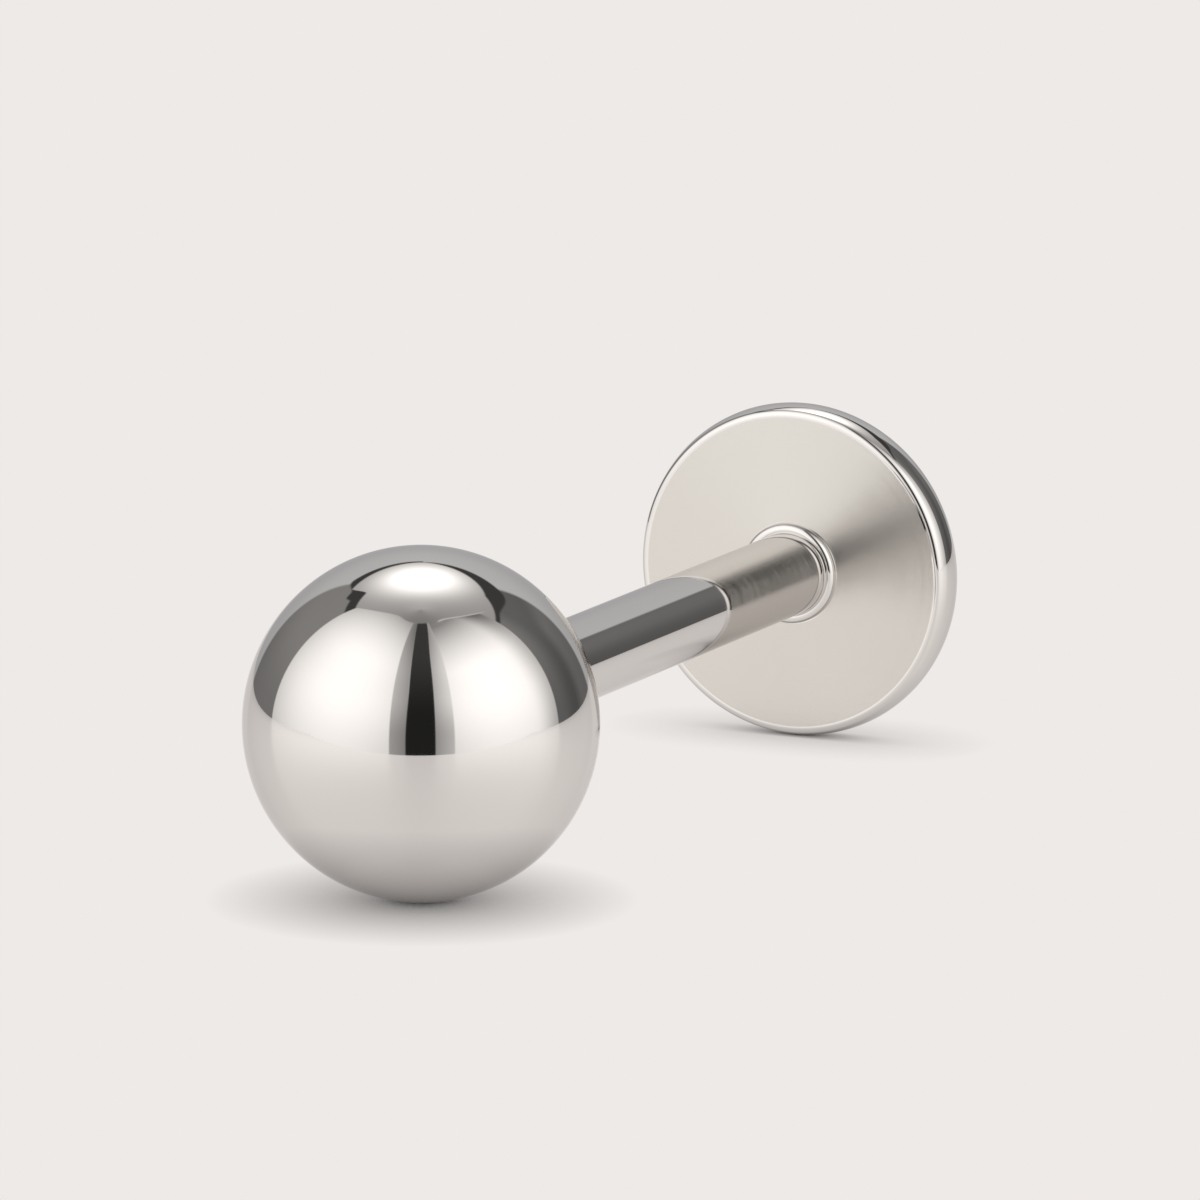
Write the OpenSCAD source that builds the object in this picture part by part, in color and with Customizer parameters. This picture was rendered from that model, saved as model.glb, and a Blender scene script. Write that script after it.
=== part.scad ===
// Labret stud: a round flat back with a straight post, and a ball end that
// seats on the post with a plain push-in pin. It lies on a flat surface, on its
// ball and on the rim of its flat back. X runs along the post, towards the
// ball, and the surface is z = 0. Millimetres.

/* [Post] */
// Diameter of the post (18 gauge)
post_d = 1.0; // [0.8:0.1:1.6]
// Wearable length, from the front face of the flat back to the ball's seat
post_length = 8; // [5:0.5:12]
// Diameter of the blind bore in the post's free end
bore_d = 0.6; // [0.4:0.05:0.65]
// Depth of the blind bore
bore_depth = 2.8; // [2:0.1:4]

/* [Flat back] */
// Diameter of the round flat back
back_d = 4.04; // [3:0.02:6]
// Thickness of the flat back
back_t = 0.54; // [0.4:0.02:0.9]
// Radius of the crowned rim, seen in section
crown_r = 0.55; // [0.5:0.05:1]
// Radius of the rounded edge between the rim and each face
edge_r = 0.09; // [0.04:0.01:0.15]
// How far the bead at the post's foot stands out from the post
bead_out = 0.11; // [0.08:0.01:0.14]
// How far the bead rises from the front face of the flat back
bead_rise = 0.11; // [0.08:0.01:0.14]
// Radius of the bead's round section
bead_r = 0.08; // [0.07:0.005:0.1]

/* [Ball end] */
// Diameter of the ball
ball_d = 4.0; // [2.5:0.1:6]
// Width of the ball's flat seat outside the post
seat_margin = 0.1; // [0.05:0.01:0.2]
// Length of the lead-in cone on the pin's tip
pin_tip = 0.1; // [0.05:0.01:0.2]

/* [Clearances] */
// Radial clearance between the pin and its bore
pin_clearance = 0.03; // [0.02:0.005:0.06]
// Gap between the post's end and the ball's seat
seat_gap = 0.02; // [0.01:0.005:0.05]
// Room between the pin's tip and the bottom of the bore
tip_room = 0.2; // [0.1:0.05:0.4]

/* [Hidden] */

facets = 96;
post_r = post_d / 2;
bore_r = bore_d / 2;
pin_r = bore_r - pin_clearance;
back_r = back_d / 2;
ball_r = ball_d / 2;

// Section of the flat back: each edge's round lies inside the crown and touches it
half_t = back_t / 2;
crown_x = back_r - crown_r;
edge_z = half_t - edge_r;
edge_x = crown_x + sqrt(pow(crown_r - edge_r, 2) - pow(edge_z, 2));
crown_z = edge_z * crown_r / (crown_r - edge_r);

// How far the flat seat lies from the ball's centre
seat_r = post_r + seat_margin;
seat_offset = sqrt(pow(ball_r, 2) - pow(seat_r, 2));

// Along the post, 0 is the front face of the flat back
seat_z = post_length + seat_gap;
ball_z = seat_z + seat_offset;
pin_end_z = post_length - bore_depth + tip_room;

// The post leans by the small angle at which ball and rim both touch z = 0
span = ball_z + half_t;
lean = acos((ball_r - crown_r) / norm([crown_x, span])) - atan2(span, crown_x);

// The ball's centre stands so far from x = 0 that the stud is centred on it
back_reach = (span + edge_z) * cos(lean) + edge_x * sin(lean) + edge_r;
ball_x = (back_reach - ball_r) / 2;

// The stud lies rolled this far about its post, which being round it doesn't show
roll = 0.2;

module lay_down() {
    translate([ball_x, 0, ball_r])
        rotate([0, 90 + lean, 0])
            rotate([0, 0, roll])
                translate([0, 0, -ball_z])
                    children();
}

module back_section() {
    translate([0, -half_t])
        square([edge_x, half_t * 2]);
    for (z = [-edge_z, edge_z])
        translate([edge_x, z])
            circle(r = edge_r, $fn = facets);
    intersection() {
        translate([crown_x, 0])
            circle(r = crown_r, $fn = facets);
        translate([crown_x, -crown_z])
            square([crown_r, crown_z * 2]);
    }
}

module round_back() {
    translate([0, 0, -half_t])
        rotate_extrude($fn = facets)
            back_section();
}

module foot_bead() {
    rotate_extrude($fn = facets)
        translate([post_r + bead_out - bead_r, bead_rise - bead_r])
            circle(r = bead_r, $fn = facets);
}

module flat_back_post() {
    color("silver")
        lay_down()
            difference() {
                union() {
                    round_back();
                    foot_bead();
                    translate([0, 0, -half_t])
                        cylinder(r = post_r, h = post_length + half_t, $fn = facets);
                }
                translate([0, 0, post_length - bore_depth])
                    cylinder(r = bore_r, h = bore_depth + seat_gap, $fn = facets);
            }
}

module seat_pin() {
    translate([0, 0, pin_end_z + pin_tip])
        cylinder(r = pin_r, h = ball_z - pin_end_z - pin_tip, $fn = facets);
    translate([0, 0, pin_end_z])
        cylinder(r1 = pin_r - pin_tip, r2 = pin_r, h = pin_tip, $fn = facets);
}

module ball_end() {
    color("gainsboro")
        lay_down() {
            difference() {
                translate([0, 0, ball_z])
                    sphere(r = ball_r, $fn = facets);
                translate([0, 0, seat_z - ball_r])
                    cylinder(r = ball_r, h = ball_r, $fn = facets);
            }
            seat_pin();
        }
}

flat_back_post();
ball_end();
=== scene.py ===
"""Looks of a labret stud: a flat back turned in one piece with its post, and a push-in ball end.

The stud lies on a pale surface, on its ball and on the rim of its flat back. X runs along
the post, towards the ball. Everything is in metres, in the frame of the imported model.
"""

import math

import bpy
from mathutils import Matrix, Vector


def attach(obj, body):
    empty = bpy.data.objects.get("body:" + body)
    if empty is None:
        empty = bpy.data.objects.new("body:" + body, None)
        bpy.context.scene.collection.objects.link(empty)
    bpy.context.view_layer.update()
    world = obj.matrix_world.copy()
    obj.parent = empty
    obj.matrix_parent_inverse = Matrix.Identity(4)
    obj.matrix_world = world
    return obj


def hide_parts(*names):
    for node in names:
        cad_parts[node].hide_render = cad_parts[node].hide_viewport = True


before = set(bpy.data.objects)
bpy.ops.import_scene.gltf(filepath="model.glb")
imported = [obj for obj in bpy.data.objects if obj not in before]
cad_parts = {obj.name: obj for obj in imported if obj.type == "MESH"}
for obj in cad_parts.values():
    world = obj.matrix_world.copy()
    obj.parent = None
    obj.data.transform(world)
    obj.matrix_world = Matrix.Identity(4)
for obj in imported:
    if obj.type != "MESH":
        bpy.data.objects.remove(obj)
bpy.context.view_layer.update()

MM = 0.001

# The same sizes as in the part's source, in millimetres
POST_R = 0.5
POST_LENGTH = 8.0
BORE_R = 0.3
BORE_DEPTH = 2.8
BACK_R = 2.02
BACK_T = 0.54
CROWN_R = 0.55
EDGE_R = 0.09
BEAD_OUT = 0.11
BEAD_RISE = 0.11
BEAD_R = 0.08
BALL_R = 2.0
SEAT_R = 0.6
SEAT_GAP = 0.02
PIN_R = 0.27
PIN_TIP = 0.1
TIP_ROOM = 0.2

# The small round at the post's mouth, which only the looks have
MOUTH_ROUND = 0.04

# Along the post, 0 is the front face of the flat back
SEAT_Z = POST_LENGTH + SEAT_GAP
BALL_Z = SEAT_Z + math.sqrt(BALL_R ** 2 - SEAT_R ** 2)
PIN_END_Z = POST_LENGTH - BORE_DEPTH + TIP_ROOM

# Section of the flat back: each edge's round lies inside the crown and touches it
HALF_T = BACK_T / 2
CROWN_X = BACK_R - CROWN_R
EDGE_Z = HALF_T - EDGE_R
EDGE_X = CROWN_X + math.sqrt((CROWN_R - EDGE_R) ** 2 - EDGE_Z ** 2)

# The post leans by the small angle at which ball and rim both touch the surface
SPAN = BALL_Z + HALF_T
LEAN = math.acos((BALL_R - CROWN_R) / math.hypot(CROWN_X, SPAN)) - math.atan2(SPAN, CROWN_X)
BACK_REACH = (SPAN + EDGE_Z) * math.cos(LEAN) + EDGE_X * math.sin(LEAN) + EDGE_R
BALL_X = (BACK_REACH - BALL_R) / 2

# Along the post towards the ball, and straight out from it on its upper side
ALONG = Vector((math.cos(LEAN), 0, -math.sin(LEAN)))
OUT = Vector((math.sin(LEAN), 0, math.cos(LEAN)))
BALL_CENTRE = Vector((BALL_X, 0, BALL_R))
FOOT = BALL_CENTRE - ALONG * BALL_Z

# How finely the turned pieces are made
TURNED_STEPS = 288
BALL_RINGS = 144
MERGE_WITHIN = 1e-7
SMOOTH_ANGLE = math.radians(40)

# Short faces beside each round, in millimetres, which keep the shading of the flats flat
HOLD = 0.012

# The way the camera looks over the surface, and how steeply it looks down
LOOK = Vector((-0.9025, -0.43065, 0)).normalized()
LOOK_DOWN = math.radians(10.87)

# How far the camera stands from the ball, and how far left of and below the middle of the
# frame the ball's centre lies, in millimetres
CAMERA_AWAY = 116
BALL_LEFT = 1.9957
BALL_BELOW = 1.3806
LENS_LENGTH = 312.0
SENSOR_WIDTH = 36

# The paper as the camera sees it, and its tone where the camera looks past its edge
PAPER_LIT = (0.857, 0.822, 0.801, 1)
PAPER_SEEN = (0.855, 0.823, 0.799, 1)
PAPER_ROUGH = 0.3
PAPER_SIZE = 6

# How close to the stud the painted shade on the paper reaches, in millimetres, and how dark it is
PAINTED_SHADE_REACH = 1.15
PAINTED_SHADE_DEPTH = 0.48

# How far from the stud the windows and the screens stand on the paper, in millimetres
WINDOWS_AWAY = 15.3
SCREENS_AWAY = 60

# The studio's strength, its own tint and the tint of the wall
STUDIO_LEVEL = 1.04
STUDIO_TINT = (1, 0.98, 0.965, 1)
WALL_TINT = (0.985, 0.985, 1, 1)

# How high the lamp hangs, and over how many degrees its glow spreads
LAMP_HEIGHT = math.radians(61)
LAMP_SPREAD = 15

# Polished surgical steel, face on and at its glancing edge, and the satin front face
STEEL = (0.77, 0.75, 0.73, 1)
STEEL_EDGE = (0.76, 0.75, 0.75, 1)
SATIN_STEEL = (0.66, 0.64, 0.602, 1)
SATIN_ROUGH = 0.2

# The satin ring on the front face, from the bead to the rim, in millimetres
SATIN_START = 0.62
SATIN_END = 1.88

# How far the turning marks lean the satin face's normal outwards, how fine they are and how
# much they differ
MARK_LEAN = 0.08
RING_SCALE = 120
RING_DEPTH = 0.85


def spot(along, out):
    """The point this far along the post from its foot and this far out from its axis, in metres."""
    return (FOOT + ALONG * along + OUT * out) * MM


def arc(along, out, radius, start, end, steps):
    """Points (along, out) of a round in section; its angles are in degrees from straight out."""
    points = []
    for step in range(steps + 1):
        angle = math.radians(start + (end - start) * step / steps)
        points.append((along + radius * math.sin(angle), out + radius * math.cos(angle)))
    return points


def aim_camera():
    """A long lens, 11 degrees above the surface, that looks along the stud from the ball's side.

    Returns the camera's right."""
    right = Vector((LOOK.y, -LOOK.x, 0))
    forward = LOOK * math.cos(LOOK_DOWN) - Vector((0, 0, 1)) * math.sin(LOOK_DOWN)
    down = forward.cross(right)
    place = BALL_CENTRE + right * BALL_LEFT - down * BALL_BELOW - forward * CAMERA_AWAY
    lens = bpy.data.cameras.new("long_lens")
    lens.sensor_width = SENSOR_WIDTH
    lens.lens = LENS_LENGTH
    lens.clip_start = 0.005
    lens.clip_end = 20
    camera = bpy.data.objects.new("camera", lens)
    bpy.context.scene.collection.objects.link(camera)
    turn = Matrix((right, -down, -forward)).transposed().to_4x4()
    camera.matrix_world = Matrix.Translation(place * MM) @ turn
    bpy.context.scene.camera = camera
    return right


class Wire:
    """A value on its way through a node tree. Arithmetic on it adds the Math nodes."""

    def __init__(self, tree, socket):
        self.tree = tree
        self.socket = socket

    def math(self, operation, *values):
        """A Math node on wires or numbers."""
        node = self.tree.nodes.new("ShaderNodeMath")
        node.operation = operation
        for slot, value in zip(node.inputs, values):
            plug(self.tree, slot, value)
        return Wire(self.tree, node.outputs[0])

    def __add__(self, other):
        return self.math("ADD", self, other)

    def __radd__(self, other):
        return self.math("ADD", other, self)

    def __sub__(self, other):
        return self.math("SUBTRACT", self, other)

    def __rsub__(self, other):
        return self.math("SUBTRACT", other, self)

    def __mul__(self, other):
        return self.math("MULTIPLY", self, other)

    def __rmul__(self, other):
        return self.math("MULTIPLY", other, self)

    def __truediv__(self, other):
        return self.math("DIVIDE", self, other)

    def __rtruediv__(self, other):
        return self.math("DIVIDE", other, self)

    def __pow__(self, other):
        return self.math("POWER", self, other)

    def __rpow__(self, other):
        return self.math("POWER", other, self)

    def __abs__(self):
        return self.math("ABSOLUTE", self)

    def at_least(self, low):
        """The value, or low where the value is less."""
        return self.math("MAXIMUM", self, low)

    def at_most(self, high):
        """The value, or high where the value is more."""
        return self.math("MINIMUM", self, high)

    def above(self, start, end):
        """0 below start, 1 above end, and a soft step between them."""
        return Nodes(self.tree).node("ShaderNodeMapRange", {"interpolation_type": "SMOOTHSTEP"},
                                     {0: self, 1: start, 2: end, 3: 0.0, 4: 1.0})

    def over(self, edge, soft):
        """1 over an edge and 0 under it, with a soft step across it."""
        return self.above(edge - soft, edge + soft)

    def under(self, edge, soft):
        """1 under an edge and 0 over it, with a soft step across it."""
        return 1 - self.over(edge, soft)

    def within(self, low, high, soft):
        """1 between low and high, and 0 outside them."""
        return self.over(low, soft) * self.under(high, soft)

    def rise(self, start, length, power):
        """0 up to start, and from there a curve that reaches 1 after this length."""
        return ((self - start) / length).at_least(0) ** power


def plug(tree, slot, value):
    """Sets a socket, or links a wire to it."""
    if isinstance(value, Wire):
        tree.links.new(value.socket, slot)
    else:
        slot.default_value = value


def mix(mask, there, elsewhere):
    """One value where the mask is 1 and another where it is 0."""
    return elsewhere + (there - elsewhere) * mask


class Nodes:
    """Adds nodes of any type to one tree."""

    def __init__(self, tree):
        self.tree = tree

    def node(self, kind, settings=None, inputs=None, output=0):
        """A node of any type, with its settings made first. Returns one of its outputs."""
        node = self.tree.nodes.new(kind)
        for name, value in (settings or {}).items():
            setattr(node, name, value)
        for name, value in (inputs or {}).items():
            plug(self.tree, node.inputs[name], value)
        return Wire(self.tree, node.outputs[output]) if node.outputs else None

    def vector(self, operation, *values, output=0):
        """A Vector Math node on wires or fixed vectors."""
        return self.node("ShaderNodeVectorMath", {"operation": operation},
                         dict(enumerate(values)), output)

    def scaled(self, vector, length):
        """A vector times a number."""
        return self.node("ShaderNodeVectorMath", {"operation": "SCALE"},
                         {0: vector, "Scale": length})

    def dot(self, vector, axis):
        """How far a vector reaches along a fixed axis."""
        return self.node("ShaderNodeVectorMath", {"operation": "DOT_PRODUCT"},
                         {0: vector, 1: tuple(axis)}, "Value")

    def tone(self, mask, plain, masked):
        """One colour where the mask is 0 and another where it is 1."""
        return self.node("ShaderNodeMix", {"data_type": "RGBA"},
                         {"Factor": mask, 6: plain, 7: masked}, 2)

    def shown_to_camera(self, seen, mirrored):
        """One shader for the camera's own rays and another for all others."""
        own = self.node("ShaderNodeLightPath", None, None, "Is Camera Ray")
        return self.node("ShaderNodeMixShader", None, {0: own, 1: mirrored, 2: seen})


class Bearing:
    """Where a direction from the stud points, in degrees.

    turn is 0 towards the gap between the windows and grows to the right, and swing is its size
    on either side. behind is what is left of swing to straight behind the stud, and height is 0
    at the horizon. off_lamp is the angle to the lamp, and on_right is 1 on the right half."""

    def __init__(self, nodes, right):
        direction = nodes.node("ShaderNodeTexCoord", None, None, "Generated")
        towards = nodes.dot(direction, -LOOK)
        across = nodes.dot(direction, right)
        up = nodes.dot(direction, (0, 0, 1))
        self.turn = across.math("ARCTAN2", across, towards) * math.degrees(1)
        self.height = up.math("ARCSINE", up) * math.degrees(1)
        self.swing = abs(self.turn)
        self.behind = 180 - self.swing
        self.on_right = self.turn.above(-1, 1)
        lamp_axis = LOOK * math.cos(LAMP_HEIGHT) + Vector((0, 0, math.sin(LAMP_HEIGHT)))
        lamp_reach = nodes.dot(direction, lamp_axis)
        self.off_lamp = lamp_reach.math("ARCCOSINE", lamp_reach) * math.degrees(1)


def ceiling_light(bearing):
    """The ceiling with the lamp's glow on it, and the dark edge under it."""
    ceiling = 0.24 + 0.13 * bearing.swing.above(10, 120) + 0.04 * bearing.height.above(80, 88)
    glow = 1.8 * math.e ** (0 - (bearing.off_lamp / LAMP_SPREAD) ** 2)
    nearing = (bearing.behind / 45).at_most(1)
    left_edge = 41 + 6 * nearing ** 1.2 + 9.5 * bearing.behind.above(37, 43)
    right_edge = 41 + 11.5 * nearing ** 1.1
    edge = mix(bearing.on_right, right_edge, left_edge)
    return mix(bearing.height.under(edge, 0.7), 0.05, ceiling + glow)


def stand_screens(bearing, light):
    """Dark screens beside the stud and the grey wall behind it.

    Returns the light with them, and where the wall is."""
    left_top = 39.5 + 8 * bearing.behind.above(28, 42) + 3.5 * bearing.behind.above(46, 52)
    right_top = 40.5 + 9.5 * bearing.behind.above(36, 66)
    top = mix(bearing.on_right, right_top, left_top)
    left_screen = 0.195 + 0.06 * bearing.height.above(0, 30)
    low_shade = 0.62 + 0.38 * bearing.height.above(0, 44)
    end_light = 0.065 * bearing.swing.above(122, 134) * (1 - bearing.height.above(22, 34))
    right_screen = (0.21 - 0.07 * bearing.swing.above(104, 122)) * low_shade + end_light
    screen = mix(bearing.on_right, right_screen, left_screen)
    wall = 0.52 + 0.05 * bearing.height.above(5, 30) + 0.03 * bearing.behind.above(25, 0)
    wall_mask = bearing.swing.over(148.5 - 3 * bearing.on_right, 1.5)
    below_top = bearing.height.under(top, 0.8)
    light = mix(below_top, mix(wall_mask, wall, screen), light)
    return light, below_top * wall_mask


def hang_window(bearing, half, reach, top, glow, light):
    """Lays a window's glow over one half of the studio, up to its outer edge and its top."""
    return mix(half * bearing.swing.under(reach, 0.6) * bearing.height.under(top, 0.6), glow, light)


def hang_windows(bearing, light):
    """Two tall windows, bright in the middle, with a thin line along the right one's top."""
    spread = 1 - 0.3 * ((bearing.swing - 58) / 47) ** 2
    foot_fade = 0.22 * (1 - bearing.height.above(-14, 26))

    left_fade = 0.6 * bearing.height.rise(44, 34, 1.7)
    left_glow = 1.33 * spread * (1 - foot_fade - left_fade)
    left_reach = 110.7 + 6 * bearing.height.rise(0, 57, 2.5)
    left_top = 79 - 23 * bearing.swing.rise(55, 63, 2.7)
    light = hang_window(bearing, 1 - bearing.on_right, left_reach, left_top, left_glow, light)

    end_fade = 0.4 * bearing.swing.above(80, 104)
    right_fade = 0.78 * bearing.height.rise(42, 33, 1.25).at_most(1)
    right_glow = 1.37 * spread * (1 - foot_fade - end_fade - right_fade)
    right_reach = 100.3 + 5 * bearing.height.rise(0, 52, 1.5)
    right_top = 77.5 - 17 * bearing.swing.rise(48, 60, 2.2)
    light = hang_window(bearing, bearing.on_right, right_reach, right_top, right_glow, light)

    line = bearing.height.within(right_top - 0.5, right_top + 0.5, 0.4)
    return mix(line * bearing.turn.within(48, 109, 6), 0.62, light)


def open_gap(bearing, light):
    """The camera's dark gap between the windows, with a folded hem on each side of it."""
    below_top = bearing.height.under(79, 0.6)
    fade = 0.7 + 0.36 * bearing.height.above(2, 28) - 0.55 * bearing.height.above(42, 80)
    left_hem = (0.37 + 0.19 * (bearing.swing - 9.4) / 10) * fade
    light = mix(bearing.turn.within(-19.4, -8, 0.5) * below_top, left_hem, light)
    right_hem = (0.45 + 0.4 * (bearing.swing - 9.4) / 14) * fade
    light = mix(bearing.turn.within(9, 22.5, 0.6) * below_top, right_hem, light)
    gap = 0.016 + 0.03 * bearing.height.above(15, 60)
    left_edge = 1.1 * bearing.height.above(0, 36) - 9
    right_edge = 10.2 + 7 * bearing.height.rise(45, 33, 3)
    sides = bearing.turn.over(left_edge, 0.5) * bearing.turn.under(right_edge, 0.5)
    return mix(sides * below_top, gap, light)


def light_world(right):
    """The studio as the stud reflects it. A camera that looks past the floor sees pale paper."""
    world = bpy.data.worlds.new("studio")
    bpy.context.scene.world = world
    world.use_nodes = True
    world.node_tree.nodes.clear()
    nodes = Nodes(world.node_tree)
    bearing = Bearing(nodes, right)
    light, wall_mask = stand_screens(bearing, ceiling_light(bearing))
    light = open_gap(bearing, hang_windows(bearing, light))
    tint = nodes.tone(wall_mask, STUDIO_TINT, WALL_TINT)
    studio = nodes.node("ShaderNodeBackground", None,
                        {"Color": tint, "Strength": light * STUDIO_LEVEL})
    paper = nodes.node("ShaderNodeBackground", None, {"Color": PAPER_SEEN, "Strength": 1.0})
    shown = nodes.shown_to_camera(paper, studio)
    nodes.node("ShaderNodeOutputWorld", None, {"Surface": shown})


def pale_paper():
    """Paper that glows evenly, with a painted shade close to what lies on it: ambient occlusion
    darkens its glow there, and no light casts it.

    The stud mirrors it with a faint sheen, and with a painted fall-off of light that makes it darker
    the farther away it is."""
    paper = bpy.data.materials.new("pale_paper")
    paper.use_nodes = True
    paper.node_tree.nodes.clear()
    nodes = Nodes(paper.node_tree)
    open_sky = nodes.node("ShaderNodeAmbientOcclusion", {"samples": 16},
                          {"Distance": PAINTED_SHADE_REACH * MM}, "AO")
    # Painted shade: the paper's glow dims near the stud by ambient occlusion, not by a cast shadow
    glow = open_sky ** PAINTED_SHADE_DEPTH
    glow_with_painted_shade = nodes.node("ShaderNodeEmission", None, {"Color": PAPER_LIT, "Strength": glow})
    place = nodes.node("ShaderNodeNewGeometry", None, None, "Position")
    away = nodes.vector("LENGTH", place, output="Value") / MM
    # Painted fall-off of light: the glow that the stud mirrors is made weaker the farther the paper
    # lies from the stud
    painted_falloff = (0.6 + 0.38 / (1 + away / 25)) * (1 - 0.13 * away.above(25, 60))
    sheen = nodes.node("ShaderNodeBsdfPrincipled", None, {
        "Base Color": (0, 0, 0, 1), "Roughness": PAPER_ROUGH,
        "Emission Color": PAPER_LIT, "Emission Strength": glow * painted_falloff})
    shown = nodes.shown_to_camera(glow_with_painted_shade, sheen)
    nodes.node("ShaderNodeOutputMaterial", None, {"Surface": shown})
    return paper


def lay_floor():
    """A wide plain pale sheet under the stud.

    The stud mirrors only its middle, a second sheet that ends where the studio's windows and
    screens stand. The wide one's centre stands aside, which keeps its diagonal out of view."""
    paper = pale_paper()
    bpy.ops.mesh.primitive_plane_add(size=PAPER_SIZE, location=(1, 0, -0.001 * MM))
    wide = bpy.context.object
    wide.name = "floor"
    wide.visible_glossy = False
    bpy.ops.mesh.primitive_circle_add(vertices=96, radius=SCREENS_AWAY * MM, fill_type="NGON")
    middle = bpy.context.object
    middle.name = "floor_middle"
    bpy.ops.object.mode_set(mode="EDIT")
    bpy.ops.mesh.select_all(action="SELECT")
    windows_foot = (BALL_CENTRE - LOOK * WINDOWS_AWAY) * MM
    bpy.ops.mesh.bisect(plane_co=windows_foot, plane_no=LOOK, clear_inner=True)
    bpy.ops.object.mode_set(mode="OBJECT")
    for sheet in (wide, middle):
        sheet.data.materials.append(paper)


def start_clean():
    """Leaves nothing selected, in object mode."""
    if bpy.context.object and bpy.context.object.mode != "OBJECT":
        bpy.ops.object.mode_set(mode="OBJECT")
    bpy.ops.object.select_all(action="DESELECT")


def open_piece(name):
    """Names the new primitive, puts its place into its mesh and opens all of it for shaping."""
    piece = bpy.context.object
    piece.name = name
    bpy.ops.object.transform_apply(location=True, rotation=True, scale=True)
    bpy.ops.object.mode_set(mode="EDIT")
    bpy.ops.mesh.select_all(action="SELECT")
    return piece


def close_piece():
    """Merges double points, turns the faces outwards and smooths all but the sharp edges."""
    bpy.ops.mesh.select_all(action="SELECT")
    bpy.ops.mesh.remove_doubles(threshold=MERGE_WITHIN)
    bpy.ops.mesh.normals_make_consistent(inside=False)
    bpy.ops.object.mode_set(mode="OBJECT")
    bpy.ops.object.shade_smooth_by_angle(angle=SMOOTH_ANGLE)


def turn_section(name, section):
    """Draws half a section point by point and spins it round the post's axis, as on a lathe."""
    start_clean()
    last = spot(*section[0])
    bpy.ops.mesh.primitive_plane_add(size=MM * 0.01, location=last)
    piece = open_piece(name)
    bpy.ops.mesh.merge(type="CENTER")
    for point in section[1:]:
        here = spot(*point)
        bpy.ops.mesh.extrude_region_move(TRANSFORM_OT_translate={"value": here - last})
        last = here
    bpy.ops.mesh.select_all(action="SELECT")
    bpy.ops.mesh.spin(steps=TURNED_STEPS, angle=math.tau, center=FOOT * MM, axis=ALONG)
    close_piece()
    return piece


def rim_section():
    """The flat back's half section, from the middle of its back face to its front face."""
    crown_turn = math.degrees(math.asin(EDGE_Z / (CROWN_R - EDGE_R)))
    points = [(-BACK_T, 0), (-BACK_T, EDGE_X * 0.5), (-BACK_T, EDGE_X - HOLD)]
    points += arc(-BACK_T + EDGE_R, EDGE_X, EDGE_R, -90, -crown_turn, 14)
    points += arc(-HALF_T, CROWN_X, CROWN_R, -crown_turn, crown_turn, 28)[1:]
    points += arc(-EDGE_R, EDGE_X, EDGE_R, crown_turn, 90, 14)[1:]
    points += [(0, EDGE_X - HOLD), (0, EDGE_X * 0.6)]
    return points


def bead_section():
    """The bead's half section, from the front face of the flat back to the post."""
    out = POST_R + BEAD_OUT - BEAD_R
    rise = BEAD_RISE - BEAD_R
    foot_turn = math.degrees(math.asin(rise / BEAD_R))
    post_turn = math.degrees(math.acos((POST_R - out) / BEAD_R))
    foot_out = out + BEAD_R * math.cos(math.radians(foot_turn))
    points = [(0, foot_out + 0.1), (0, foot_out + HOLD)]
    points += arc(rise, out, BEAD_R, -foot_turn, post_turn, 20)
    return points


def post_section():
    """The post's half section, from the bead over its mouth to the bottom of its bore."""
    mouth = POST_LENGTH - MOUTH_ROUND
    bottom = POST_LENGTH - BORE_DEPTH
    points = [(BEAD_RISE + 0.05, POST_R), (POST_LENGTH * 0.5, POST_R), (mouth - HOLD, POST_R)]
    points += arc(mouth, POST_R - MOUTH_ROUND, MOUTH_ROUND, 0, 90, 8)
    points += [(POST_LENGTH, BORE_R + MOUTH_ROUND * 0.5), (POST_LENGTH - MOUTH_ROUND * 0.5, BORE_R)]
    points += [(POST_LENGTH - BORE_DEPTH * 0.5, BORE_R), (bottom, BORE_R), (bottom, 0)]
    return points


def polish_ball():
    """The ball end: a sphere cut flat at its seat, with the pin drawn out of the flat."""
    start_clean()
    turn = ALONG.to_track_quat("Z", "Y").to_euler()
    bpy.ops.mesh.primitive_uv_sphere_add(segments=TURNED_STEPS, ring_count=BALL_RINGS,
                                         radius=BALL_R * MM, location=BALL_CENTRE * MM, rotation=turn)
    piece = open_piece("ball_with_pin")
    bpy.ops.mesh.bisect(plane_co=spot(SEAT_Z, 0), plane_no=ALONG, use_fill=True,
                        clear_inner=True, threshold=MERGE_WITHIN)
    bpy.ops.mesh.inset(thickness=(SEAT_R - PIN_R) * MM, depth=0)
    shank = (PIN_END_Z + PIN_TIP - SEAT_Z, 1)
    tip_cone = (-PIN_TIP, (PIN_R - PIN_TIP) / PIN_R)
    for reach, shrink in (shank, tip_cone):
        bpy.ops.mesh.extrude_region_move(TRANSFORM_OT_translate={"value": ALONG * reach * MM})
        bpy.ops.transform.resize(value=(shrink, shrink, shrink))
    close_piece()
    return piece


def new_steel(name):
    """A new steel finish, its nodes and its shader."""
    finish = bpy.data.materials.new(name)
    finish.use_nodes = True
    shader = finish.node_tree.nodes["Principled BSDF"]
    shader.inputs["Base Color"].default_value = STEEL
    shader.inputs["Specular Tint"].default_value = STEEL_EDGE
    shader.inputs["Metallic"].default_value = 1
    return finish, Nodes(finish.node_tree), shader


def haze_of(nodes, place):
    """The roughness of the mirror polish: a faint haze that comes and goes."""
    haze = nodes.node("ShaderNodeTexNoise", None, {"Vector": place, "Scale": 900, "Detail": 3})
    return 0.02 + 0.035 * haze


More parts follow.
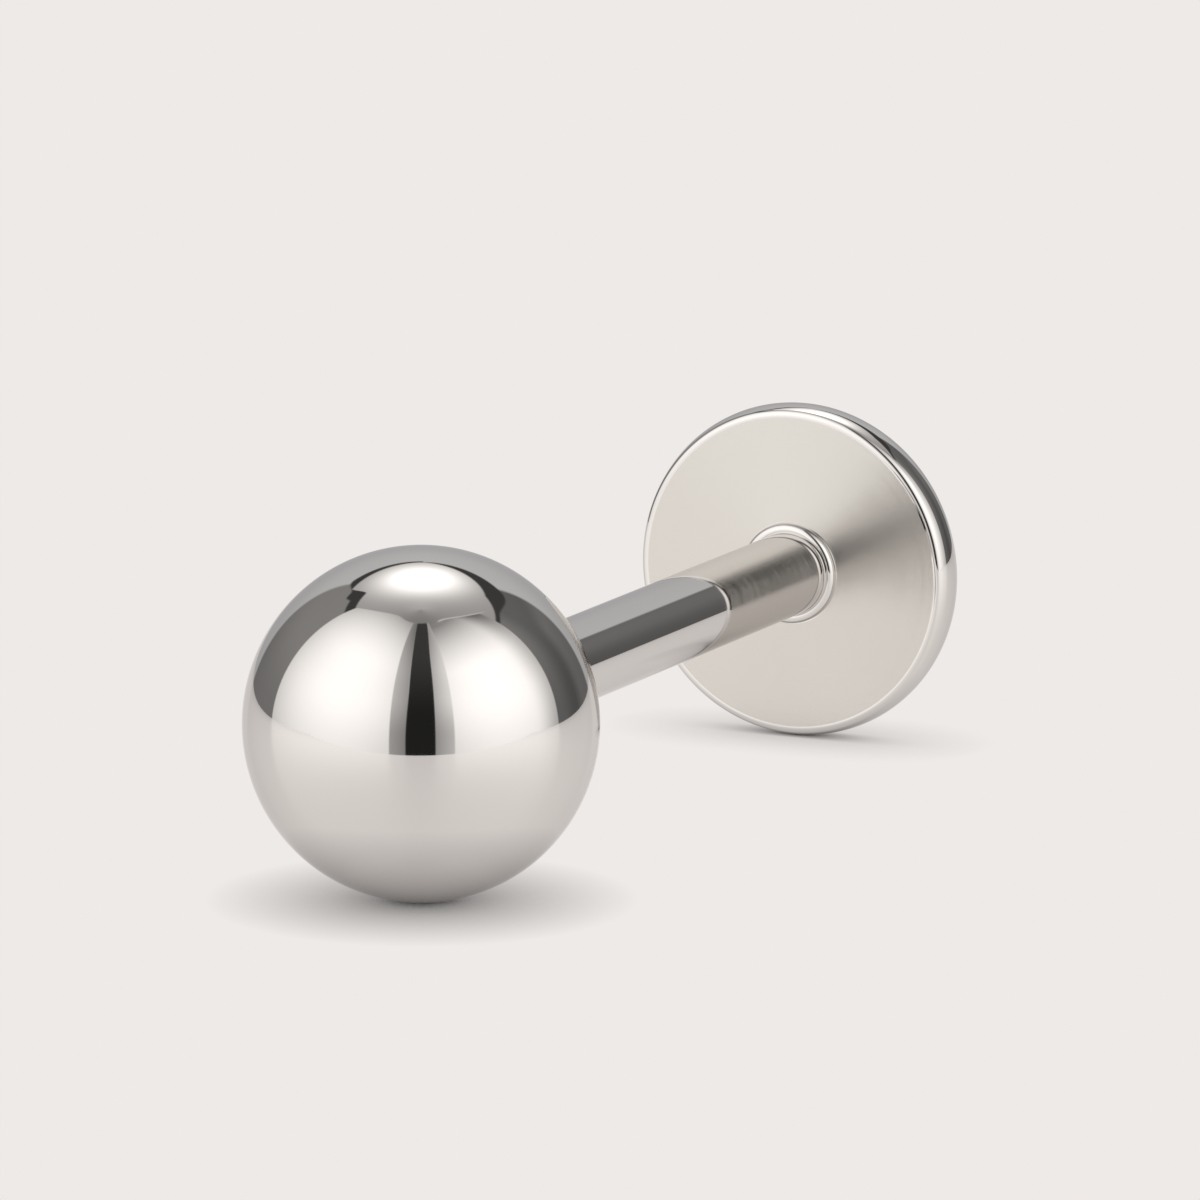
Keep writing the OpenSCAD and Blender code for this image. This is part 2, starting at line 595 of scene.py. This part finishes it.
def mirror_steel(name):
    """Mirror-polished steel."""
    finish, nodes, shader = new_steel(name)
    place = nodes.node("ShaderNodeTexCoord", None, None, "Object")
    plug(nodes.tree, shader.inputs["Roughness"], haze_of(nodes, place))
    return finish


def back_steel():
    """Steel of the flat back and post: mirror-polished but for the satin front of the flat back,
    whose fine turning marks lean outwards."""
    finish, nodes, shader = new_steel("back_steel")
    place = nodes.node("ShaderNodeTexCoord", None, None, "Object")
    from_foot = nodes.vector("SUBTRACT", place, tuple(FOOT * MM))
    along = nodes.dot(from_foot, ALONG) / MM
    straight_out = nodes.vector("SUBTRACT", from_foot, nodes.scaled(tuple(ALONG), along * MM))
    reach = nodes.vector("LENGTH", straight_out, output="Value") / MM
    on_face = along.within(-0.012, 0.012, 0.006)
    satin = on_face * reach.within(SATIN_START, SATIN_END, 0.004)
    rings = nodes.node("ShaderNodeTexNoise", {"noise_dimensions": "1D"},
                       {"W": reach * RING_SCALE, "Detail": 2})
    lean = (MARK_LEAN + RING_DEPTH * (rings - 0.5)) * satin
    outward = nodes.vector("NORMALIZE", straight_out)
    face = nodes.node("ShaderNodeNewGeometry", None, None, "Normal")
    leaning = nodes.vector("ADD", face, nodes.scaled(outward, lean))
    rough = mix(satin, SATIN_ROUGH, haze_of(nodes, place))
    plug(nodes.tree, shader.inputs["Normal"], nodes.vector("NORMALIZE", leaning))
    plug(nodes.tree, shader.inputs["Roughness"], rough)
    plug(nodes.tree, shader.inputs["Base Color"], nodes.tone(satin, STEEL, SATIN_STEEL))
    return finish


def dress(piece, finish, body, node):
    """Gives a piece its finish and its body, and hides the CAD node that it stands for."""
    piece.data.materials.clear()
    piece.data.materials.append(finish)
    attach(piece, body)
    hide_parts(node)


bpy.context.scene.view_settings.view_transform = "Standard"
light_world(aim_camera())
start_clean()
lay_floor()

back_section = rim_section() + bead_section() + post_section()
back_and_post = turn_section("flat_back_and_post", back_section)
dress(back_and_post, back_steel(), "back", "flat_back_post")
dress(polish_ball(), mirror_steel("ball_steel"), "ball", "ball_end")
